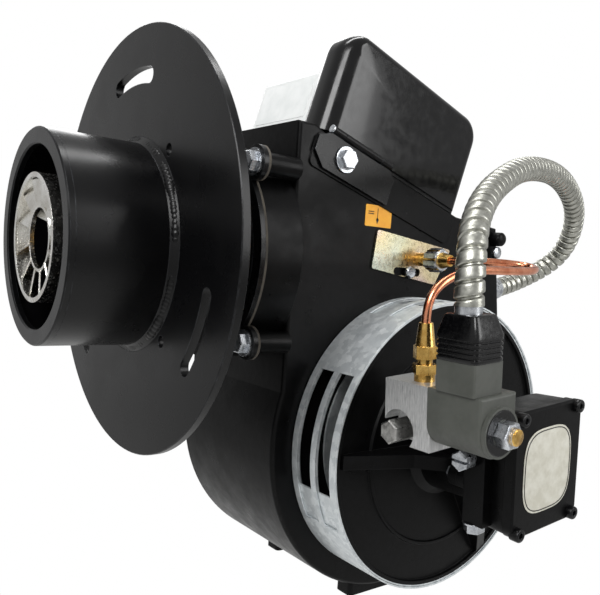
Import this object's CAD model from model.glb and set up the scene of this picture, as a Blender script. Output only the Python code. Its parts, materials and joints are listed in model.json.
# %% [markdown]
# # A gun-type oil burner, dressed for its portrait
#
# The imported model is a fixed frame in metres: every housing, bolt and shaft already has its true
# shape and place. This notebook gives those pieces their finishes, and makes the few forms that a
# solid modeller would rather not: the spiral conduit, the bent copper line, the drawn igniter
# can, the weld bead, the bare plates and the sockets in the screws.
#
# New forms are surfaces of two parameters, worked out with numpy as whole grids.

# %% Start from the frame
import json

import bmesh
import bpy
import numpy as np
from mathutils import Matrix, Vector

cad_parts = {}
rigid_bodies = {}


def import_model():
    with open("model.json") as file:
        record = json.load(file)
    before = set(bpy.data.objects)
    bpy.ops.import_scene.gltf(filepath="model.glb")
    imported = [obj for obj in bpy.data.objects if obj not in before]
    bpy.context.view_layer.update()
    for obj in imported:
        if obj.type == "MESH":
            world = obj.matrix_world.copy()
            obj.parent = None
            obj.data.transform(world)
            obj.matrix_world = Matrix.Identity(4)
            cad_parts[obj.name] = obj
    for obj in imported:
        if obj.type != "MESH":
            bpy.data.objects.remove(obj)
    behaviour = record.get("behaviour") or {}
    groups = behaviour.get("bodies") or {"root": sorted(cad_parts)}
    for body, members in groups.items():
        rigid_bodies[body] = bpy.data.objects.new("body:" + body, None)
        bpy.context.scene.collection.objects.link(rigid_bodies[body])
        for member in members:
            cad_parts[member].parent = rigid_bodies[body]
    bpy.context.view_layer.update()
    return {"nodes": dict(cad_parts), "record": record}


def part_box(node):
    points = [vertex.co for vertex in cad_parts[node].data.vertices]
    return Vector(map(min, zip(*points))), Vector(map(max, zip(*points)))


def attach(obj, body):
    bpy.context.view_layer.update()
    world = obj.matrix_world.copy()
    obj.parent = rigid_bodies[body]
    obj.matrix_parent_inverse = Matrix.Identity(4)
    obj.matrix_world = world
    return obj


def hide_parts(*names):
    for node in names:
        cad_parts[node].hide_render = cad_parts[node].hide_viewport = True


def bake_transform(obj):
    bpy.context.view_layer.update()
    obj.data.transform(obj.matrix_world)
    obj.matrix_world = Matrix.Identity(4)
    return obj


for leftover in list(bpy.data.objects):
    bpy.data.objects.remove(leftover)

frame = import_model()
NODES = frame["nodes"]
MM = 0.001

# %% [markdown]
# ## The burner's own directions
#
# Three directions come back again and again. The air tube lies along X. The blower's axis is
# parallel to Y, and the pump with its valve stands on that axis, turned five degrees. The top
# plate slopes down to the rear by seventeen degrees. A point given in one of those turned frames
# is carried to the row frame by a small matrix whose rows are the frame's own axes.

# %% Turned frames
PUMP_TURN = np.radians(5.0)
SLOPE = np.radians(17.0)
blower_low, blower_high = (np.array(corner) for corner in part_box("blower_wheel"))
AXIS = (blower_low + blower_high) / 2          # centre of the wheel, on the blower's axis
PUMP_AXES = np.array([
    (np.cos(PUMP_TURN), 0, np.sin(PUMP_TURN)),
    (-np.sin(PUMP_TURN), 0, np.cos(PUMP_TURN)),
    (0, -1, 0),
])
SLOPE_AXES = np.array([
    (np.cos(SLOPE), 0, -np.sin(SLOPE)),
    (0, 1, 0),
    (np.sin(SLOPE), 0, np.cos(SLOPE)),
])
PUMP_ORIGIN = np.array((AXIS[0], 0, AXIS[2]))
SLOPE_ORIGIN = np.array((0.126, 0, 0.099))
WALL_AXES = np.array([(1, 0, 0), (0, 0, 1), (0, -1, 0)])


def placed(points, origin, axes):
    """Carries an array of local points into the frame: origin + u*axis 0 + v*axis 1 + w*axis 2."""
    return np.asarray(origin) + np.asarray(points) @ np.asarray(axes)


print("blower axis at x, z =", PUMP_ORIGIN.round(4)[[0, 2]])

# %% [markdown]
# ## The camera first
#
# The burner hangs in the view as it would hang on its boiler, seen from the nozzle end, a little
# from above and slightly tilted. A lens of 42 mm at half a metre gives the strong perspective in
# which the round flange looks much larger than the pump. The camera's own axes are the columns of
# its matrix: right, up and backwards.

# %% Camera
EYE = (-0.22087, -0.51708, -0.00578)
LOOK_AZIMUTH, LOOK_ELEVATION, LOOK_ROLL = np.radians((-38.93, 6.90, 4.10))
LENS = 41.92
SHIFT = (-0.0389, 0.0902)


def camera_axes(azimuth, elevation, roll):
    """Right, up and backwards: backwards points from the object to the eye, and right and up are
    then turned about it by roll."""
    level = np.cos(elevation)
    back = np.array([np.sin(azimuth) * level, -np.cos(azimuth) * level, np.sin(elevation)])
    right = np.cross((0, 0, 1), back)
    right /= np.linalg.norm(right)
    up = np.cross(back, right)
    turned_right = np.cos(roll) * right + np.sin(roll) * up
    turned_up = np.cos(roll) * up - np.sin(roll) * right
    return np.array([turned_right, turned_up, back])


def stand(thing, axes, place):
    """Puts an object somewhere: its axes are the columns of its matrix, its place the last one."""
    pose = np.eye(4)
    pose[:3, :3] = np.array(axes).T
    pose[:3, 3] = place
    thing.matrix_world = Matrix(pose.tolist())


def add_camera():
    """Makes the scene's camera from its axes and eye point."""
    lens = bpy.data.cameras.new("portrait_camera")
    lens.lens = LENS
    lens.shift_x, lens.shift_y = SHIFT
    lens.clip_start = 0.01
    camera = bpy.data.objects.new("portrait_camera", lens)
    bpy.context.scene.collection.objects.link(camera)
    stand(camera, camera_axes(LOOK_AZIMUTH, LOOK_ELEVATION, LOOK_ROLL), EYE)
    bpy.context.scene.camera = camera


add_camera()
print("camera stands at", EYE)

# %% [markdown]
# ## A pale room and soft light
#
# Black paint is seen almost only by what it mirrors, so the room matters more than the lamps'
# strength. A square lamp on the nozzle side draws the soft highlights, a tall one fills the pump
# side, a narrow strip overhead draws one long line of light down the air tube, and a wide one
# behind lifts the top edges off the background. The floor is far below, because the burner hangs
# on its flange. Camera rays see the room white, and metal sees it paler than soft light does.

# %% Lamps
AIM = np.array((0.17, -0.06, -0.07))


def add_lamp(name, place, width, height, watts):
    """Rectangular lamp at a place, turned so that its -Z axis points at the burner."""
    light = bpy.data.lights.new(name, "AREA")
    light.shape = "RECTANGLE"
    light.size, light.size_y = width, height
    light.energy = watts
    lamp = bpy.data.objects.new(name, light)
    bpy.context.scene.collection.objects.link(lamp)
    back = np.array(place) - AIM
    back /= np.linalg.norm(back)
    right = np.cross((0, 0, 1), back)
    right /= np.linalg.norm(right)
    stand(lamp, [right, np.cross(back, right), back], place)


add_lamp("nozzle_side_lamp", (-1.15, -0.80, 1.00), 0.8, 0.8, 24.0)
add_lamp("pump_side_lamp", (0.95, -1.45, 0.55), 0.6, 1.1, 12.0)
add_lamp("overhead_lamp", (0.15, 0.10, 1.20), 1.0, 0.16, 7.0)
add_lamp("rear_lamp", (0.75, 1.25, 0.55), 1.0, 0.8, 9.0)

# %% World and floor
FLOOR_Z, FLOOR_HALF = -0.95, 4.0
ROOM_LEVEL = 0.36
ROOM_IN_GLOSS, FLOOR_IN_GLOSS = 0.30, 0.12     # how white a mirror sees the room and the floor


def seen_white(tree, glossy_share):
    """How far a ray sees the bright room: 1 for camera and transmission rays, and a share of
    that for glossy ones."""
    path = tree.nodes.new("ShaderNodeLightPath")
    share = tree.nodes.new("ShaderNodeMath")
    share.operation = "MULTIPLY"
    share.inputs[1].default_value = glossy_share
    tree.links.new(path.outputs["Is Glossy Ray"], share.inputs[0])
    result = share.outputs[0]
    for kind in ("Is Camera Ray", "Is Transmission Ray"):
        larger = tree.nodes.new("ShaderNodeMath")
        larger.operation = "MAXIMUM"
        tree.links.new(result, larger.inputs[0])
        tree.links.new(path.outputs[kind], larger.inputs[1])
        result = larger.outputs[0]
    return result


def light_the_room():
    """World: a grey room for soft light, mixed towards white for the rays that look at it."""
    world = bpy.data.worlds.new("pale_room")
    bpy.context.scene.world = world
    world.use_nodes = True
    tree = world.node_tree
    tree.nodes.clear()
    grey = tree.nodes.new("ShaderNodeBackground")
    grey.inputs["Color"].default_value = (1, 1, 1, 1)
    grey.inputs["Strength"].default_value = ROOM_LEVEL
    white = tree.nodes.new("ShaderNodeBackground")
    white.inputs["Color"].default_value = (1, 1, 1, 1)
    mix = tree.nodes.new("ShaderNodeMixShader")
    out = tree.nodes.new("ShaderNodeOutputWorld")
    tree.links.new(seen_white(tree, ROOM_IN_GLOSS), mix.inputs["Fac"])
    tree.links.new(grey.outputs[0], mix.inputs[1])
    tree.links.new(white.outputs[0], mix.inputs[2])
    tree.links.new(mix.outputs[0], out.inputs["Surface"])


def lay_floor():
    """A pale square of floor, as white as the room for the rays that look at it."""
    signs = ((-1, -1), (1, -1), (1, 1), (-1, 1))
    corners = [(FLOOR_HALF * x, FLOOR_HALF * y, FLOOR_Z) for x, y in signs]
    mesh = bpy.data.meshes.new("floor")
    mesh.from_pydata(corners, [], [(0, 1, 2, 3)])
    floor = bpy.data.objects.new("floor", mesh)
    bpy.context.scene.collection.objects.link(floor)
    paint = bpy.data.materials.new("pale_floor")
    paint.use_nodes = True
    tree = paint.node_tree
    shader = tree.nodes["Principled BSDF"]
    shader.inputs["Base Color"].default_value = (0.86, 0.86, 0.85, 1)
    shader.inputs["Roughness"].default_value = 0.8
    glow = tree.nodes.new("ShaderNodeEmission")
    mix = tree.nodes.new("ShaderNodeMixShader")
    tree.links.new(seen_white(tree, FLOOR_IN_GLOSS), mix.inputs["Fac"])
    tree.links.new(shader.outputs[0], mix.inputs[1])
    tree.links.new(glow.outputs[0], mix.inputs[2])
    tree.links.new(mix.outputs[0], tree.nodes["Material Output"].inputs["Surface"])
    mesh.materials.append(paint)


light_the_room()
lay_floor()
bpy.context.scene.view_settings.view_transform = "Standard"

# %% [markdown]
# ## A small vocabulary for finishes
#
# Each finish below is a short sentence of nodes. They all read Object coordinates, which here are
# the frame's own metres, so a noise of scale 500 has grains of two millimetres on every piece.
# Real edges are never sharp: the Bevel node bends the normal round them, and its difference from
# the true normal marks where paint wears thin and metal is polished by hands.

# %% Finish helper
def srgb(red, green, blue):
    """Linear from 8-bit display colour: ((c + 0.055) / 1.055) ** 2.4, or c / 12.92 when dark."""
    c = np.array((red, green, blue)) / 255
    linear = np.where(c > 0.04045, ((c + 0.055) / 1.055) ** 2.4, c / 12.92)
    return (*linear.tolist(), 1.0)


MOST_OF_NOISE = (0.3, 0.7)


class Finish:
    """A material being written: each method adds a node and gives back the socket to use next."""

    def __init__(self, name, colour, roughness, metallic=0.0, specular=0.5):
        self.material = bpy.data.materials.new(name)
        self.material.use_nodes = True
        self.tree = self.material.node_tree
        self.shader = self.tree.nodes["Principled BSDF"]
        self.set("Base Color", colour)
        self.set("Roughness", roughness)
        self.set("Metallic", metallic)
        self.set("Specular IOR Level", specular)
        self.places = self.node("ShaderNodeTexCoord").outputs["Object"]

    def node(self, kind, **settings):
        """A node of that kind with its plain settings."""
        made = self.tree.nodes.new(kind)
        for key, value in settings.items():
            setattr(made, key, value)
        return made

    def feed(self, socket, value):
        """Joins an output to a socket, or writes a constant on it."""
        if isinstance(value, bpy.types.NodeSocket):
            self.tree.links.new(value, socket)
        else:
            socket.default_value = value

    def set(self, name, value):
        """Feeds one of the shader's own sockets."""
        self.feed(self.shader.inputs[name], value)

    def stretched(self, *factors):
        """Object coordinates times three factors: a small one draws the pattern out that way."""
        mapping = self.node("ShaderNodeMapping")
        self.tree.links.new(self.places, mapping.inputs["Vector"])
        mapping.inputs["Scale"].default_value = factors
        return mapping.outputs["Vector"]

    def noise(self, scale, detail=3.0, rough=0.55, along=None):
        """Cloudy noise from 0 to 1."""
        made = self.node("ShaderNodeTexNoise")
        self.tree.links.new(along or self.places, made.inputs["Vector"])
        made.inputs["Scale"].default_value = scale
        made.inputs["Detail"].default_value = detail
        made.inputs["Roughness"].default_value = rough
        return made.outputs["Fac"]

    def cells(self, scale, along=None):
        """Cells of a Voronoi pattern, with a random colour for each."""
        made = self.node("ShaderNodeTexVoronoi")
        self.tree.links.new(along or self.places, made.inputs["Vector"])
        made.inputs["Scale"].default_value = scale
        return made.outputs["Color"]

    def between(self, value, low, high, start=0.0, end=1.0):
        """Maps a value that runs from start to end onto low to high, clamped."""
        made = self.node("ShaderNodeMapRange")
        self.feed(made.inputs["Value"], value)
        limits = {"From Min": start, "From Max": end, "To Min": low, "To Max": high}
        for name, number in limits.items():
            made.inputs[name].default_value = number
        return made.outputs["Result"]

    def math(self, operation, a, b=0.0):
        """One sum of two values."""
        made = self.node("ShaderNodeMath", operation=operation)
        self.feed(made.inputs[0], a)
        self.feed(made.inputs[1], b)
        return made.outputs[0]

    def colours(self, value, *stops):
        """Colour ramp: stops are (position, colour)."""
        made = self.node("ShaderNodeValToRGB")
        ramp = made.color_ramp
        while len(ramp.elements) < len(stops):
            ramp.elements.new(0.5)
        for element, (position, colour) in zip(ramp.elements, stops):
            element.position = position
            element.color = colour
        self.feed(made.inputs["Fac"], value)
        return made.outputs["Color"]

    def mixed(self, share, first, second):
        """first where share is 0, second where it is 1."""
        made = self.node("ShaderNodeMix", data_type="RGBA")
        self.feed(made.inputs["Factor"], share)
        self.feed(made.inputs[6], first)
        self.feed(made.inputs[7], second)
        return made.outputs[2]

    def clouded(self, noise, *stops):
        """Base colour that drifts between stops with cloudy noise."""
        self.set("Base Color", self.colours(self.noise(*noise), *stops))

    def sheen(self, low, high, *noise):
        """Roughness that drifts from low to high over the range where most of the noise lies."""
        self.set("Roughness", self.between(self.noise(*noise), low, high, *MOST_OF_NOISE))

    def worn(self, radius):
        """1 on edges and 0 on flats: how far the bevelled normal leans from the true one."""
        bevel = self.node("ShaderNodeBevel", samples=4)
        bevel.inputs["Radius"].default_value = radius
        true = self.node("ShaderNodeNewGeometry").outputs["Normal"]
        lean = self.node("ShaderNodeVectorMath", operation="DOT_PRODUCT")
        self.tree.links.new(bevel.outputs["Normal"], lean.inputs[0])
        self.tree.links.new(true, lean.inputs[1])
        return self.between(lean.outputs["Value"], 0.0, 1.0, 0.985, 0.80)

    def relief(self, height, strength, distance, edge=0.0004):
        """Bump from a height, over edges rounded to a radius, on the shader's Normal."""
        bump = self.node("ShaderNodeBump")
        bump.inputs["Strength"].default_value = strength
        bump.inputs["Distance"].default_value = distance
        self.feed(bump.inputs["Height"], height)
        if edge > 0:
            bevel = self.node("ShaderNodeBevel", samples=4)
            bevel.inputs["Radius"].default_value = edge
            self.tree.links.new(bevel.outputs["Normal"], bump.inputs["Normal"])
        self.set("Normal", bump.outputs["Normal"])


# %% [markdown]
# ## The black finishes
#
# Three blacks meet on this burner. The castings are aluminium under satin paint: the sand's grain
# still shows through, and the sheen varies where the coat is thick. The welded steel of tube and
# flange has a smoother powder coat with fine orange peel, and its thin rim has rubbed down to
# pale metal here and there. The igniter's can is stoved enamel, nearly a mirror.

# %% Black finishes
BLACK = srgb(7, 7, 8)
RUBBED = srgb(84, 86, 90)


def black_casting():
    """Satin paint on a sand casting: coarse and fine grain in the relief, cloudy sheen."""
    f = Finish("black_casting", BLACK, 0.38, specular=0.12)
    grain = f.noise(1400, 4.0, 0.65)
    dents = f.noise(170, 2.0)
    paint = f.colours(dents, (0.3, srgb(5, 5, 5)), (0.7, srgb(10, 10, 11)))
    f.set("Base Color", f.mixed(f.worn(0.0006), paint, srgb(22, 23, 24)))
    f.sheen(0.27, 0.42, 60)
    f.relief(f.math("ADD", grain, f.math("MULTIPLY", dents, 1.6)), 0.30, 0.00022, 0.0009)
    return f.material


def black_steel():
    """Powder coat on sheet steel: faint orange peel, soft cloudy sheen, worn thin on the rims."""
    f = Finish("black_steel", BLACK, 0.30, specular=0.24)
    peel = f.noise(900, 2.0, 0.5)
    patches = f.between(f.noise(70, 5.0, 0.7), 0.0, 1.0, 0.42, 0.62)
    wear = f.math("MULTIPLY", f.worn(0.0009), patches)
    f.set("Base Color", f.mixed(wear, srgb(6, 6, 7), RUBBED))
    f.set("Metallic", f.math("MULTIPLY", wear, 0.7))
    f.sheen(0.22, 0.33, 25, 4.0)
    f.relief(peel, 0.16, 0.00016, 0.0005)
    return f.material


def black_gloss():
    """Stoved enamel on a drawn can: deep black under a clear coat, with a long slow ripple."""
    f = Finish("black_gloss", srgb(3, 3, 4), 0.16, specular=0.25)
    f.set("Coat Weight", 0.25)
    f.set("Coat Roughness", 0.06)
    f.sheen(0.12, 0.24, 120, 4.0)
    f.relief(f.noise(220, 2.0), 0.05, 0.0002, 0.0)
    return f.material


def motor_paint():
    """Air-dried black enamel on the motor: a little greyer, with brush-soft unevenness."""
    f = Finish("motor_paint", srgb(18, 19, 20), 0.42, specular=0.25)
    f.clouded((90, 4.0), (0.35, srgb(14, 15, 16)), (0.65, srgb(22, 23, 25)))
    f.sheen(0.34, 0.52, 240, 3.0)
    f.relief(f.noise(800, 3.0), 0.2, 0.00015, 0.0005)
    return f.material


def black_plastic():
    """Glossy moulded plastic of the valve's plug, with a faint moulding haze."""
    f = Finish("black_plastic", srgb(5, 5, 6), 0.2, specular=0.4)
    f.set("Roughness", f.between(f.noise(400, 4.0), 0.16, 0.30, 0.35, 0.65))
    f.relief(f.noise(700, 2.0), 0.06, 0.0001, 0.0004)
    return f.material


# %% [markdown]
# ## The bright metals
#
# Zinc plate is bluish and slightly milky, with darker handling marks. Hot-dip galvanising shows
# its crystals as patches of unlike grey, so each cell of a Voronoi pattern gets its own tone.
# Yellow chromate is a film thin enough to colour the light: straw, rose and green wander over it.
# Brass, copper and aluminium are told apart by colour, and by what made their surface: a lathe, a
# drawing die or a long abrasive belt.

# %% Bright metals
def plated(name, dark, light, low, high, scale=180, relief=0.12):
    """Metal whose tone and sheen wander between two values, with a fine pitted relief."""
    f = Finish(name, light, high, metallic=1.0)
    cloud = f.noise(scale, 5.0, 0.6)
    f.set("Base Color", f.colours(cloud, (0.3, dark), (0.62, light)))
    f.sheen(low, high, scale * 1.7, 4.0)
    f.relief(f.noise(scale * 9, 3.0), relief, 0.0001, 0.0004)
    return f.material


def galvanised():
    """Zinc crystals: cells of unlike grey whose borders wobble, over a slower cloud of tone."""
    f = Finish("galvanised", srgb(205, 210, 213), 0.45, metallic=0.6)
    warped = f.node("ShaderNodeVectorMath", operation="MULTIPLY_ADD")
    wobble = f.node("ShaderNodeTexNoise")
    f.tree.links.new(f.places, wobble.inputs["Vector"])
    wobble.inputs["Scale"].default_value = 260
    f.tree.links.new(wobble.outputs["Color"], warped.inputs[0])
    warped.inputs[1].default_value = (0.006, 0.006, 0.006)
    f.tree.links.new(f.places, warped.inputs[2])
    crystals = f.node("ShaderNodeSeparateColor")
    f.tree.links.new(f.cells(210, along=warped.outputs[0]), crystals.inputs[0])
    crystal = f.math("MULTIPLY", crystals.outputs[0], 0.6)
    tone = f.math("ADD", crystal, f.math("MULTIPLY", f.noise(45, 4.0), 0.5))
    f.set("Base Color", f.colours(
        tone, (0.15, srgb(192, 198, 201)), (0.55, srgb(208, 213, 215)), (0.95, srgb(226, 230, 231)),
    ))
    f.set("Roughness", f.between(tone, 0.42, 0.54, 0.2, 0.9))
    f.relief(f.noise(700, 3.0), 0.10, 0.00012, 0.0003)
    return f.material


def yellow_zinc():
    """Chromate film: straw, rose and green bands that follow slow noise, over bright metal."""
    f = Finish("yellow_zinc", srgb(214, 200, 140), 0.27, metallic=1.0)
    film = f.noise(17, 1.5, 0.5)
    f.set("Base Color", f.colours(
        film, (0.30, srgb(184, 194, 184)), (0.42, srgb(206, 202, 170)), (0.52, srgb(212, 196, 158)),
        (0.60, srgb(204, 184, 172)), (0.72, srgb(184, 192, 200)),
    ))
    f.sheen(0.20, 0.36, 300, 4.0)
    f.relief(f.noise(900, 3.0), 0.10, 0.0001, 0.0003)
    return f.material


def aluminium():
    """Bar stock finished on a long belt: fine lines run up the block."""
    f = Finish("aluminium", srgb(196, 197, 197), 0.40, metallic=0.65)
    lines = f.noise(60, 5.0, 0.7, along=f.stretched(22.0, 22.0, 1.0))
    f.set("Base Color", f.colours(lines, (0.32, srgb(160, 161, 162)), (0.66, srgb(208, 208, 207))))
    f.set("Roughness", f.between(lines, 0.26, 0.42, 0.3, 0.7))
    f.relief(lines, 0.14, 0.00012, 0.0005)
    return f.material


def stainless():
    """Pressed stainless vanes: bright, with a faint warm clouding and an uneven sheen."""
    f = Finish("stainless", srgb(225, 224, 219), 0.22, metallic=1.0)
    f.clouded((60, 3.0), (0.35, srgb(206, 203, 196)), (0.65, srgb(238, 237, 233)))
    f.sheen(0.16, 0.30, 500, 4.0)
    f.relief(f.noise(900, 3.0), 0.08, 0.0001, 0.0003)
    return f.material


def zinc():
    return plated("zinc", srgb(150, 154, 160), srgb(212, 215, 219), 0.20, 0.38)


def steel():
    return plated("steel", srgb(120, 119, 117), srgb(182, 181, 178), 0.24, 0.40, 240)


def brass():
    return plated("brass", srgb(176, 132, 62), srgb(226, 186, 108), 0.16, 0.32, 150, 0.08)


def copper():
    return plated("copper", srgb(196, 112, 78), srgb(240, 164, 128), 0.16, 0.30, 110, 0.08)


# %% [markdown]
# ## Plastics, porcelain and fibre
#
# Moulded housings have a spark-eroded texture, a fine even grain that softens the highlight. It
# is the same recipe each time with other colours, so it is one function.

# %% Moulded pieces
def moulded(name, colour, shade, low, high, grain=1300, relief=0.2):
    """Plastic with an even eroded grain and a slow drift of tone."""
    f = Finish(name, colour, high)
    f.clouded((55, 3.0), (0.35, shade), (0.6, colour))
    f.sheen(low, high, grain / 4, 3.0)
    f.relief(f.noise(grain, 2.0), relief, 0.00012, 0.0006)
    return f.material


def coil_grey():
    return moulded("coil_grey", srgb(74, 76, 71), srgb(64, 66, 61), 0.42, 0.58)


def white_plastic():
    return moulded("white_plastic", srgb(236, 238, 237), srgb(229, 231, 230), 0.34, 0.46)


def grey_plastic():
    return moulded("grey_plastic", srgb(184, 190, 184), srgb(172, 178, 172), 0.36, 0.5)


def red_plastic():
    return moulded("red_plastic", srgb(196, 24, 18), srgb(170, 16, 14), 0.22, 0.32, relief=0.05)


def coupling():
    return moulded("coupling", srgb(214, 208, 182), srgb(198, 190, 160), 0.4, 0.55)


def gasket():
    return moulded("gasket", srgb(96, 90, 80), srgb(70, 66, 60), 0.8, 0.92, 700, 0.6)


def porcelain():
    """Glazed ceramic: white body, sharp clear coat, slow glaze waves."""
    f = Finish("porcelain", srgb(238, 234, 224), 0.22)
    f.set("Coat Weight", 0.5)
    f.set("Coat Roughness", 0.05)
    f.clouded((80, 3.0), (0.35, srgb(228, 222, 210)), (0.6, srgb(240, 237, 229)))
    f.relief(f.noise(150, 2.0), 0.05, 0.0002, 0.0005)
    return f.material


# %% Dress the frame's own pieces
MAKERS = (
    black_casting, black_steel, black_gloss, motor_paint, black_plastic, zinc, galvanised, yellow_zinc,
    stainless, steel, aluminium, brass, copper, coil_grey, white_plastic, grey_plastic, red_plastic,
    coupling, gasket, porcelain,
)
FINISHES = {make.__name__: make() for make in MAKERS}
SLOT_OF = {part["node"]: part["material_slot"] for part in frame["record"]["subparts"]}
for node_name, slot_name in SLOT_OF.items():
    for place in NODES[node_name].material_slots:
        place.material = FINISHES[slot_name]
print(len(FINISHES), "finishes on", len(SLOT_OF), "nodes")

# %% [markdown]
# ## From a grid of points to a piece
#
# Every form made here is a grid: rows along one parameter, columns along the other. Four
# neighbours make a face. Where a grid closes on itself the last row joins the first, and where it
# shrinks to a pole the points fall together and are merged, so each piece is a closed skin.

# %% Grid helper
def grid_faces(rows, columns, close_rows):
    """Quads between neighbouring rows and columns, as an array of four indices each. The last
    column always joins the first."""
    r = np.arange(rows if close_rows else rows - 1)
    r, c = (side.ravel() for side in np.meshgrid(r, np.arange(columns), indexing="ij"))
    next_r, next_c = (r + 1) % rows, (c + 1) % columns
    corners = ((r, c), (next_r, c), (next_r, next_c), (r, next_c))
    return np.stack([row * columns + column for row, column in corners], 1)


def surface(name, grids, body, slot_name, finish=None, sharp=40.0, close_rows=False):
    """One piece from one or more grids of points: merged, turned outwards, smooth up to an angle.
    It rides on its body, or on none where body is None and it is bent between two of them later."""
    grids = grids if isinstance(grids, list) else [grids]
    points, faces, offset = [], [], 0
    for grid in grids:
        rows, columns = grid.shape[:2]
        points.append(grid.reshape(-1, 3))
        faces.append(grid_faces(rows, columns, close_rows) + offset)
        offset += rows * columns
    points, faces = np.concatenate(points), np.concatenate(faces)
    mesh = bpy.data.meshes.new(name)
    mesh.vertices.add(len(points))
    mesh.vertices.foreach_set("co", points.ravel())
    mesh.loops.add(faces.size)
    mesh.loops.foreach_set("vertex_index", faces.ravel())
    mesh.polygons.add(len(faces))
    mesh.polygons.foreach_set("loop_start", np.arange(0, faces.size, 4))
    mesh.update(calc_edges=True)
    shape = bmesh.new()
    shape.from_mesh(mesh)
    bmesh.ops.remove_doubles(shape, verts=shape.verts, dist=1e-6)
    bmesh.ops.recalc_face_normals(shape, faces=shape.faces)
    shape.to_mesh(mesh)
    shape.free()
    mesh.shade_smooth()
    mesh.set_sharp_from_angle(angle=np.radians(sharp))
    mesh.materials.append(finish or FINISHES[slot_name])
    piece = bpy.data.objects.new(name, mesh)
    bpy.context.scene.collection.objects.link(piece)
    if body is not None:
        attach(piece, body)
    print(f"{name}: {len(mesh.polygons)} faces")
    return piece


# %% Profiles and outlines
def turned(profile, columns=48, hex_rows=(), hex_size=0.0):
    """Grid of a profile of (radius, height) points swept round the height axis, in local metres.
    A row listed in hex_rows follows a hexagon, hex_size across its flats, instead of a circle."""
    profile = np.asarray(profile, float)
    angle = np.linspace(0, 2 * np.pi, columns, endpoint=False)
    radius = np.repeat(profile[:, :1], columns, axis=1)
    sector = (angle + np.pi / 6) % (np.pi / 3) - np.pi / 6
    for row in hex_rows:
        radius[row] = hex_size / 2 / np.cos(sector)
    height = np.repeat(profile[:, 1:], columns, axis=1)
    return np.stack([radius * np.cos(angle), radius * np.sin(angle), height], -1)


def rounded_outline(corners, radius, steps=6):
    """Closed outline of a polygon whose corners are quadratic curves, each of which starts a radius
    before its corner."""
    corners = np.asarray(corners, float)
    to_last = np.roll(corners, 1, axis=0) - corners
    to_next = np.roll(corners, -1, axis=0) - corners
    radius = np.broadcast_to(np.asarray(radius, float), len(corners))[:, None]
    start = corners + to_last / np.linalg.norm(to_last, axis=1, keepdims=True) * radius
    end = corners + to_next / np.linalg.norm(to_next, axis=1, keepdims=True) * radius
    t = np.linspace(0, 1, steps)[None, :, None]
    start, corners, end = (side[:, None] for side in (start, corners, end))
    return ((1 - t) ** 2 * start + 2 * t * (1 - t) * corners + t ** 2 * end).reshape(-1, 2)


def plate_grid(outline, thickness, edge=0.0002):
    """Grid of a flat plate whose edge is broken: rings from the back's middle to the front's."""
    middle = outline.mean(0)
    span = np.abs(outline - middle).max()
    shares = np.array([0, 1 - edge / span, 1, 1, 1 - edge / span, 0])
    heights = np.array([0, 0, edge, thickness - edge, thickness, thickness])
    flat = middle + (outline - middle)[None] * shares[:, None, None]
    heights = np.broadcast_to(heights[:, None, None], (*flat.shape[:2], 1))
    return np.concatenate([flat, heights], -1)


# %% [markdown]
# ## The conduit
#
# A flexible metal conduit is one long strip of galvanised steel, wound like a spring, each turn
# hooked over the last. Seen from outside it is a tube whose radius swells and dips once per
# pitch, and the phase of that swelling turns with the angle round the tube, which makes it a
# helix rather than a row of rings. Its line is a smooth NURBS curve through the points where the
# tube is held and where it leans out, read back as a fine polyline. The frame that carries the
# grid along it uses the one direction that the whole route leans on least, so that it never
# twists.

# %% Smooth routes
def smooth_line(name, points):
    """Points of a NURBS spline of order 3 whose control points are the route's, in metres."""
    curve = bpy.data.curves.new(name, "CURVE")
    curve.dimensions = "3D"
    curve.resolution_u = 40
    spline = curve.splines.new("NURBS")
    spline.points.add(len(points) - 1)
    spline.points.foreach_set("co", np.c_[np.array(points), np.ones(len(points))].ravel())
    spline.order_u = 3
    spline.use_endpoint_u = True
    holder = bpy.data.objects.new(name, curve)
    mesh = bpy.data.meshes.new_from_object(holder)
    line = np.empty(len(mesh.vertices) * 3)
    mesh.vertices.foreach_get("co", line)
    bpy.data.objects.remove(holder)
    return line.reshape(-1, 3)


def respaced(line, count):
    """The same line at evenly spaced arc lengths, with its whole length."""
    steps = np.linalg.norm(np.diff(line, axis=0), axis=1)
    travel = np.concatenate([[0], np.cumsum(steps)])
    even = np.linspace(0, travel[-1], count)
    return np.stack([np.interp(even, travel, line[:, k]) for k in range(3)], 1), travel[-1]


def tube_grid(line, radius, columns):
    """Grid round a line: centre + radius * (cos a * side + sin a * up), where radius is an array
    with a row for each point of the line and one column, or one for each angle."""
    tangent = np.gradient(line, axis=0)
    tangent /= np.linalg.norm(tangent, axis=1, keepdims=True)
    least = np.linalg.svd(tangent - tangent.mean(0))[2][-1]
    side = np.cross(tangent, least)
    side /= np.linalg.norm(side, axis=1, keepdims=True)
    up = np.cross(tangent, side)
    angle = np.linspace(0, 2 * np.pi, columns, endpoint=False)[None, :, None]
    out = np.cos(angle) * side[:, None] + np.sin(angle) * up[:, None]
    return line[:, None] + radius[..., None] * out


def closed_ends(grid):
    """Adds a pole at each end of a tube's grid, so that its skin is closed."""
    first = np.broadcast_to(grid[0].mean(0), (1, *grid[0].shape))
    last = np.broadcast_to(grid[-1].mean(0), (1, *grid[-1].shape))
    return np.concatenate([first, grid, last])


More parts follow.
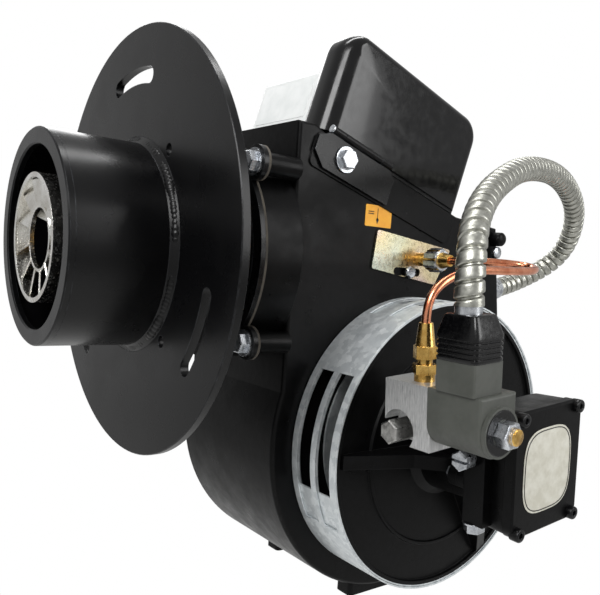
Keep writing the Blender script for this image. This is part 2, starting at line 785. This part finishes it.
# %% Conduit
CONDUIT_R = 0.0100
CONDUIT_DIP = 0.0024
PITCH_OPEN, PITCH_SHUT = 0.0098, 0.0074
CROWN_SHARE = 0.86           # of a turn, before its groove
CROWN_LEAN = 0.22            # how much lower a crown is where it ends
CONDUIT_STEPS, CONDUIT_SIDES = 1980, 36
CONDUIT_ROUTE = [
    (0.12835, -0.228, -0.02356), (0.12591, -0.228, 0.00433), (0.143, -0.214, 0.034),
    (0.188, -0.190, 0.060),
    (0.257, -0.165, 0.086), (0.354, -0.135, 0.093), (0.424, -0.112, 0.066), (0.447, -0.084, 0.022),
    (0.40391, -0.057, -0.00930), (0.37347, -0.057, -0.01513),
]
conduit_line, conduit_length = respaced(smooth_line("conduit_route", CONDUIT_ROUTE), CONDUIT_STEPS)


def wound_radius(length, rows, columns):
    """Radius of the wound strip. Turns passed = distance / pitch, where the pitch shrinks evenly from
    the stretched end to the bent one, so that integral is a logarithm; phase = turns - angle / full
    turn. Each turn is a crown that leans a little and ends in a deep groove."""
    share = np.linspace(0, 1, rows)[:, None]
    closing = PITCH_OPEN - PITCH_SHUT
    turns = -length / closing * np.log(1 - closing / PITCH_OPEN * share)
    across = np.mod(turns - np.linspace(0, 1, columns, endpoint=False), 1.0)
    crown = np.clip(1 - np.abs(2 * across / CROWN_SHARE - 1) ** 6.0, 0, 1) ** 0.5
    return CONDUIT_R - CONDUIT_DIP * (1 - crown * (1 - CROWN_LEAN * across)), turns[-1, 0]


def conduit_zinc():
    """Strip galvanised before it was wound: a warm grey zinc in two clouded tones."""
    f = Finish("conduit_zinc", srgb(186, 185, 176), 0.34, metallic=1.0)
    cloud = f.noise(240, 4.0, 0.6)
    f.set("Base Color", f.colours(cloud, (0.3, srgb(146, 146, 138)), (0.65, srgb(186, 186, 178))))
    f.sheen(0.30, 0.44, 500, 4.0)
    f.relief(f.noise(1500, 3.0), 0.12, 0.0001, 0.0)
    return f.material


conduit_radius, conduit_turns = wound_radius(conduit_length, CONDUIT_STEPS, CONDUIT_SIDES)
conduit = surface(
    "wound_conduit", closed_ends(tube_grid(conduit_line, conduit_radius, CONDUIT_SIDES)),
    "burner", "galvanised", conduit_zinc(), sharp=55.0,
)
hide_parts("conduit")
print(f"conduit is {conduit_length * 1000:.0f} mm long, {conduit_turns:.0f} turns of strip")

# %% [markdown]
# ## The copper line
#
# A quarter-inch copper tube, bent by hand over a former, joins the solenoid valve to the nozzle
# line. Its two ends sit on different bodies, since the nozzle line moves with the head when it is
# set, so the tube bends between them.

# %% Copper line
LINE_R = 0.003175
LINE_STEPS, LINE_SIDES = 220, 28
OIL_ROUTE = [
    (0.239, -0.112, 0.007), (0.239, -0.126, 0.007), (0.250, -0.142, 0.008), (0.270, -0.152, 0.008),
    (0.278, -0.168, 0.006), (0.262, -0.182, 0.003), (0.225, -0.188, 0.001), (0.180, -0.188, 0.000),
    (0.150, -0.187, -0.008), (0.13541, -0.185, -0.02395), (0.13671, -0.185, -0.03890),
]
oil_path, oil_length = respaced(smooth_line("oil_route", OIL_ROUTE), LINE_STEPS)
oil_grid = tube_grid(oil_path, np.full((LINE_STEPS, 1), LINE_R), LINE_SIDES)
oil_line = surface("copper_line", closed_ends(oil_grid), None, "copper")
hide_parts("oil_line")
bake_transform(oil_line)
print(f"copper line is {oil_length * 1000:.0f} mm long")

# %% [markdown]
# ## The drawn igniter can
#
# The igniter is a can pressed from one blank and filled with resin. Its leading end is drawn
# almost to a half round, its top and rear edges to a smaller one, and the lower edge stands
# square on its plate. A mirror-black face shows every break in curvature, so the can is swept
# ring by ring: each ring is the rim moved inwards by what a quarter circle has lost at that
# depth. The circle's radius is a smooth function of the place along the rim, and the flat faces
# swell by half a millimetre in their middle.

# %% Igniter can
CAN_LENGTH, CAN_HEIGHT, CAN_FOOT = 0.170, 0.086, 0.0033
CAN_START, CAN_NEAR, CAN_DEEP = -0.005, -0.0724, 0.0404
CAN_CORNER, CAN_EDGE, CAN_NOSE = 0.020, 0.007, 0.0175
CAN_SWELL = 0.0005


def can_rim(steps=14):
    """Rim of the can seen from the side, its inward directions, and how much of the nose's rounding
    each point has: corner centre + radius * (cos a, sin a) round the two upper corners, and a
    straight foot."""
    right, top = CAN_START + CAN_LENGTH - CAN_CORNER, CAN_FOOT + CAN_HEIGHT - CAN_CORNER
    turn = np.linspace(0, np.pi, 2 * steps)[:, None]
    outward = np.hstack([np.cos(turn), np.sin(turn)])
    centre = np.where(turn < np.pi / 2, (right, top), (CAN_START + CAN_CORNER, top))
    ease = np.clip(turn[:, 0] / (np.pi / 2) - 1, 0, 1)
    across = np.linspace(0, 1, 20)
    foot = np.c_[CAN_START + CAN_LENGTH * across, np.full(len(across), CAN_FOOT)]
    rim = np.concatenate([foot, centre + CAN_CORNER * outward])
    inward = np.concatenate([np.c_[1 - 2 * across, np.zeros(len(across))], -outward])
    return rim, inward, np.concatenate([1 - across, ease * ease * (3 - 2 * ease)])


def igniter_can():
    """Rings from the far face's middle, over both rounded edges, to the near face's middle."""
    rim, inward, nose = can_rim()
    edge = CAN_EDGE + (CAN_NOSE - CAN_EDGE) * nose
    quarter = np.linspace(0, np.pi / 2, 12)[:, None]
    outline = rim + inward * (edge * (1 - np.sin(quarter)))[..., None]
    setback = CAN_SWELL + edge * (1 - np.cos(quarter))
    far = np.concatenate([outline, setback[..., None]], -1)
    near = np.concatenate([outline, CAN_DEEP - setback[..., None]], -1)[::-1]
    share = (1 - np.linspace(1, 0, 9)[:-1] ** 2.5)[:, None, None]
    middle = np.array([CAN_START + CAN_LENGTH / 2, CAN_FOOT + CAN_HEIGHT / 2])
    inner = middle + (outline[0] - middle) * share
    swell = np.broadcast_to(CAN_SWELL * share ** 2, (*inner.shape[:2], 1))
    faces = np.concatenate([inner, swell], -1)
    mirrored = (faces * (1, 1, -1) + (0, 0, CAN_DEEP))[::-1]
    along, height, deep = np.concatenate([faces, far, near, mirrored]).transpose(2, 0, 1)
    grid = np.stack([along, CAN_NEAR + CAN_DEEP - deep, height], -1)
    return placed(grid, SLOPE_ORIGIN, SLOPE_AXES)


can = surface("igniter_can", igniter_can(), "top_plate", "black_gloss", sharp=60.0)
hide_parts("igniter")

# %% [markdown]
# ## The weld bead
#
# Tube and flange are joined by a hand-laid fillet weld. A welder's bead is a row of overlapping
# ripples a few millimetres apart, of uneven size, so its section is a quarter round whose size
# breathes with the angle round the tube: a ripple wave, skewed forward, over slower swells.

# %% Weld bead
TUBE_R = 0.0762
WELD_LEG, WELD_SUNK = 0.0046, 0.001
RIPPLE_PITCH = 0.0036


def weld_bead():
    """Torus of a quarter-round section in the corner of tube and flange, whose radius is
    leg * (0.8 + ripples + swells). Its back is sunk a little into both."""
    around = np.linspace(0, 2 * np.pi, 720, endpoint=False)[:, None]
    ripple = np.mod(around * TUBE_R / RIPPLE_PITCH + 0.6 * np.sin(7 * around), 1.0)
    skewed = ripple ** 0.7 * (1 - ripple) * 2.6
    swell = 0.10 * np.sin(5 * around + 1.0) + 0.07 * np.sin(13 * around)
    swell = swell + 0.05 * np.sin(29 * around + 2.0)
    leg = WELD_LEG * (0.80 + 0.12 * skewed + swell)
    section = np.linspace(0, np.pi / 2, 9)[None, :]
    sunk = np.full_like(leg, -WELD_SUNK)
    ahead = np.concatenate([leg * np.cos(section), sunk, sunk], 1)
    radius = TUBE_R + np.concatenate([leg * np.sin(section), leg, sunk], 1)
    return np.stack([-ahead, radius * np.cos(around), radius * np.sin(around)], -1)


surface("weld_bead", weld_bead(), "burner", "black_steel", sharp=70.0, close_rows=True)

# %% [markdown]
# ## Plates and labels, left bare
#
# The pump's cover carries a plate with bulging sides, the casing a small yellow setting mark, and
# the control a pale panel. The first is a superellipse and the others are rectangles with rounded
# corners, each swept from its back to its front. The pump's plate keeps only its embossed rim, and
# the yellow one a plain arrow that points down, with two bars beside it.

# %% Plate finishes
def plate_silver():
    """Etched aluminium plate: warm white lacquer over metal."""
    f = Finish("plate_silver", srgb(222, 219, 205), 0.34, metallic=0.35)
    f.clouded((120, 4.0), (0.35, srgb(212, 209, 194)), (0.65, srgb(230, 228, 216)))
    f.sheen(0.28, 0.42, 500, 3.0)
    f.relief(f.noise(1500, 2.0), 0.05, 0.0001, 0.0003)
    return f.material


def label_yellow():
    """Printed vinyl, orange-yellow, slightly creased."""
    f = Finish("label_yellow", srgb(246, 172, 28), 0.4)
    f.clouded((90, 3.0), (0.35, srgb(238, 160, 20)), (0.65, srgb(250, 182, 40)))
    f.sheen(0.32, 0.46, 300, 3.0)
    f.relief(f.noise(180, 2.0), 0.08, 0.0003, 0.0)
    return f.material


def label_pale():
    """Blank paper label under film."""
    f = Finish("label_pale", srgb(236, 239, 238), 0.45)
    f.clouded((70, 3.0), (0.35, srgb(230, 233, 232)), (0.65, srgb(241, 243, 242)))
    f.sheen(0.38, 0.5, 260, 3.0)
    f.relief(f.noise(140, 2.0), 0.08, 0.0002, 0.0)
    return f.material


# %% Nameplate on the pump
SILVER, YELLOW, PALE = plate_silver(), label_yellow(), label_pale()
PUMP_FACE = -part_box("pump_cover")[0][1]
PLATE_MIDDLE, PLATE_HALF = np.array((-4.0, 10.0)) * MM, np.array((29.5, 32.5)) * MM
PLATE_T = 0.0006
RIM_RINGS = np.array([(0.955, 0.0005), (0.955, 0.00085), (0.935, 0.00085), (0.935, 0.0005)])


def on_pump(grid):
    """Carries (u, v, height) points to the pump cover's face."""
    return placed(grid + (0, 0, PUMP_FACE), PUMP_ORIGIN, PUMP_AXES)


def barrel_outline(middle, half, power=3.4, columns=96):
    """Superellipse |u / a| ** p + |v / b| ** p = 1: a rectangle whose sides bulge and whose corners
    are round."""
    turn = np.linspace(0, 2 * np.pi, columns, endpoint=False)
    unit = np.stack([np.cos(turn), np.sin(turn)], 1)
    return middle + half * np.sign(unit) * np.abs(unit) ** (2 / power)


plate_edge = barrel_outline(PLATE_MIDDLE, PLATE_HALF)
pump_plate = on_pump(plate_grid(plate_edge, PLATE_T))
surface("pump_plate", pump_plate, "burner", "aluminium", SILVER, sharp=30.0)
rim_middle = plate_edge.mean(0)
rim = np.concatenate([
    rim_middle + (plate_edge - rim_middle) * RIM_RINGS[:, :1, None],
    np.broadcast_to(RIM_RINGS[:, 1:, None], (len(RIM_RINGS), len(plate_edge), 1)),
], -1)
rim_finish = FINISHES["black_plastic"]
surface("pump_plate_rim", on_pump(rim), "burner", "aluminium", rim_finish, close_rows=True)
print("pump plate is", (np.ptp(plate_edge, axis=0) * 1000).round(1), "mm")

# %% Setting mark and control panel
WALL_Y = 0.0722
MARK_BOX = (0.173, 0.031, 0.203, 0.049)
MARK_T, MARKING_T = 0.00025, 0.0004


def on_wall(grid):
    """Carries (x, z, height) points to the housing's pump-side wall."""
    return placed(grid + (0, 0, WALL_Y), (0, 0, 0), WALL_AXES)


def box_outline(low_u, low_v, high_u, high_v, radius):
    """Rounded rectangle between two corners."""
    corners = [(low_u, low_v), (high_u, low_v), (high_u, high_v), (low_u, high_v)]
    return rounded_outline(corners, radius)


mark = plate_grid(box_outline(*MARK_BOX, 0.001), MARK_T, 0.0001)
surface("setting_mark", on_wall(mark), "burner", "white_plastic", YELLOW)
ARROW = np.array([
    (186.4, 46.5), (187.0, 46.5), (187.0, 37.0), (188.3, 37.0), (186.7, 33.4), (185.1, 37.0),
    (186.4, 37.0),
]) * MM
BARS = np.array([(176.0, 43.0, 182.5, 43.7), (176.0, 41.2, 182.5, 41.9)]) * MM
marks = [rounded_outline(ARROW, 0.0001)] + [box_outline(*bar, 0.0001) for bar in BARS]
printed = [on_wall(plate_grid(outline, MARKING_T, 0.00005)) for outline in marks]
surface("setting_marks", printed, "burner", "black_plastic")
print(len(marks), "marks on the yellow plate")

# %% Control's panel and screw
CONTROL_FRONT = 0.0075
PANEL_BOX, PANEL_T = (-0.0200, 0.0240, 0.0540, 0.0600), 0.0003
FRONT_AXES = np.array([(0, 1, 0), SLOPE_AXES[2], -SLOPE_AXES[0]])


def on_control(grid):
    """Carries (y, height, out) points to the front face of the control's cover."""
    return placed(grid - (0, 0, CONTROL_FRONT), SLOPE_ORIGIN, FRONT_AXES)


panel = plate_grid(box_outline(*PANEL_BOX, 0.0015), PANEL_T, 0.0001)
surface("control_panel", on_control(panel), "top_plate", "white_plastic", PALE)
SCREW_PROFILE = [
    (0, -0.001), (0.0034, -0.001), (0.0034, 0.0006), (0.0030, 0.0016), (0.0020, 0.0022), (0, 0.0024),
]
base_screw = on_control(turned(SCREW_PROFILE, 32) + (-0.014, 0.0100, 0.0015))
surface("control_screw", base_screw, "top_plate", "zinc", sharp=50.0)

# %% [markdown]
# ## Sockets and threads
#
# Fasteners tell the eye how large a machine is, so they get what a lathe and a die leave on them:
# the six points of a socket in the pump's cap screws, and the fine thread on the stem that
# carries the coil. A thread is the conduit's trick again, a radius whose phase turns with the
# angle.

# %% Cap screws of the pump
CAP_R, CAP_H, SOCKET = 0.0052, 0.0045, 0.0042
CAP_PROFILE = [
    (0, -0.003), (CAP_R * 0.98, -0.003), (CAP_R, 0), (CAP_R, CAP_H - 0.0012),
    (CAP_R - 0.0004, CAP_H - 0.0004), (CAP_R - 0.0012, CAP_H), (SOCKET / 2 + 0.0006, CAP_H),
    (SOCKET / 2, CAP_H - 0.0005), (SOCKET / 2, CAP_H - 0.0026), (0, CAP_H - 0.0030),
]
SOCKET_ROWS = (7, 8)
CAP_SPOTS = [(u, v, 0) for u in (-0.038, 0.030) for v in (-0.033, 0.053)]
cap_screw = turned(CAP_PROFILE, 48, SOCKET_ROWS, SOCKET)
pump_screws = [on_pump(cap_screw + spot) for spot in CAP_SPOTS]
screws = surface("pump_cap_screws", pump_screws, "burner", "black_steel", sharp=35.0)
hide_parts("pump_cover_screws")

# %% Valve's end ring and stem
COIL_AXIS = np.array((-0.090, 0.058))
RING_PROFILE = [
    (0.0092, 0.2490), (0.0155, 0.2490), (0.0155, 0.2519), (0.0149, 0.2525), (0.0092, 0.2525),
]
end_ring = placed(turned(RING_PROFILE, 64) + (*COIL_AXIS, 0), PUMP_ORIGIN, PUMP_AXES)
surface("coil_end_ring", end_ring, "burner", "black_plastic", close_rows=True)

STEM_NEAR, STEM_TIP = 0.2600, 0.2647
THREAD_R, THREAD_DEPTH, THREAD_PITCH, TIP_CHAMFER = 0.0057, 0.0005, 0.0010, 0.0007
thread_rows = np.linspace(STEM_NEAR, STEM_TIP, 38)
thread_turn = np.linspace(0, 1, 40, endpoint=False)
thread_phase = np.mod(thread_rows[:, None] / THREAD_PITCH - thread_turn, 1.0)
thread_radius = THREAD_R - THREAD_DEPTH * np.abs(2 * thread_phase - 1)
thread_radius[-2:] -= TIP_CHAMFER
thread_angle = 2 * np.pi * thread_turn
thread = np.stack([
    thread_radius * np.cos(thread_angle), thread_radius * np.sin(thread_angle),
    np.broadcast_to(thread_rows[:, None], thread_radius.shape),
], -1)
stem = closed_ends(thread) + (*COIL_AXIS, 0)
surface("valve_stem_thread", placed(stem, PUMP_ORIGIN, PUMP_AXES), "burner", "brass", sharp=50.0)

# %% [markdown]
# ## The valve's plug
#
# A moulded plug tapers to its cable end and has ridges for the fingers. Both are one stack of
# rounded squares: its rows give a height, a half width and a half depth in millimetres, and the
# ridges are rows that step in and out.

# %% Valve's plug
PLUG_U, PLUG_NEAR, PLUG_FOOT = -0.0965, 0.2285, 0.103
PLUG_SQUARENESS = 9.0
PLUG_ROWS = np.array([
    (0.0, 14.0, 17.0), (0.8, 14.4, 17.4), (2.6, 14.4, 17.4), (3.0, 13.7, 16.7), (3.9, 13.7, 16.7),
    (4.3, 14.4, 17.4), (5.9, 14.4, 17.4), (6.3, 13.7, 16.7), (7.2, 13.7, 16.7), (7.6, 14.4, 17.4),
    (9.2, 14.4, 17.4), (9.6, 13.7, 16.7), (10.5, 13.7, 16.7), (10.9, 14.4, 17.4), (12.5, 14.4, 17.4),
    (12.9, 13.7, 16.7), (13.8, 13.7, 16.7), (14.2, 14.4, 17.4), (17.5, 14.4, 17.4), (28.6, 11.4, 13.6),
    (29.6, 10.9, 13.0), (30.0, 10.0, 12.2),
]) * MM


def plug_cap():
    """Rounded squares stacked up the plug, each with its own half width and half depth."""
    rows = [barrel_outline(np.zeros(2), half, PLUG_SQUARENESS, 64) for half in PLUG_ROWS[:, 1:]]
    across, deep = np.array(rows).transpose(2, 0, 1)
    height = np.broadcast_to(PLUG_FOOT + PLUG_ROWS[:, :1], across.shape)
    grid = np.stack([PLUG_U + across, height, PLUG_NEAR + deep], -1)
    return placed(closed_ends(grid), PUMP_ORIGIN, PUMP_AXES)


plug = surface("plug_cap", plug_cap(), "burner", "black_plastic", sharp=28.0)
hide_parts("valve_plug")

# %% [markdown]
# ## The last small castings and a nut
#
# A hexagon nut is a turned profile whose two middle rows follow a hexagon, so its chamfers come by
# themselves. The lugs and the screw's head between them are plain turned profiles, and the pump's
# casting is three rounded squares stacked behind its cover.

# %% Zinc nut on the nozzle line
NUT_SPOT = (0.239, 0.007, 0.0878)
NUT_FLATS, NUT_HEX_ROWS = 0.0182, (2, 3)
NUT_PROFILE = [
    (0.0050, 0.0), (0.0089, 0.0), (0.0098, 0.0009), (0.0098, 0.0141), (0.0089, 0.0150),
    (0.0050, 0.0150),
]
line_nut = turned(NUT_PROFILE, 60, NUT_HEX_ROWS, NUT_FLATS) + NUT_SPOT
line_nut = placed(line_nut, (0, 0, 0), WALL_AXES)
surface("nozzle_line_nut", line_nut, "head_drawer", "zinc", sharp=30.0, close_rows=True)

# %% Lugs and screw at the rear corner
LUG_PROFILE = [(0, 0), (0.0062, 0), (0.0070, 0.0010), (0.0066, 0.0110), (0.0054, 0.0125), (0, 0.0130)]
CORNER_X, LUG_HEIGHTS, SCREW_HEIGHT = 0.3430, (0.0330, 0.0075), 0.0200
lugs = [on_wall(turned(LUG_PROFILE, 40) + (CORNER_X, high, -0.0005)) for high in LUG_HEIGHTS]
surface("corner_lugs", lugs, "burner", "black_casting", sharp=50.0)
CHEESE_PROFILE = [(0, 0), (0.0056, 0), (0.0058, 0.0006), (0.0056, 0.0036), (0.0046, 0.0043), (0, 0.0046)]
corner_screw = turned(CHEESE_PROFILE, 40) + (CORNER_X, SCREW_HEIGHT, 0.0040)
surface("corner_screw", on_wall(corner_screw), "burner", "zinc", sharp=50.0)

# %% Pump casting behind its cover
CASTING_MIDDLE, CASTING_SQUARENESS = np.array((-0.003, 0.010)), 11.0
CASTING_ROWS = np.array([(192.0, 37.0, 43.0), (194.5, 39.6, 46.4), (221.2, 40.4, 47.4)]) * MM
casting = np.array([
    np.c_[barrel_outline(CASTING_MIDDLE, half, CASTING_SQUARENESS, 64), np.full(64, near)]
    for near, *half in CASTING_ROWS
])
casting = placed(closed_ends(casting), PUMP_ORIGIN, PUMP_AXES)
surface("pump_casting", casting, "burner", "black_casting")
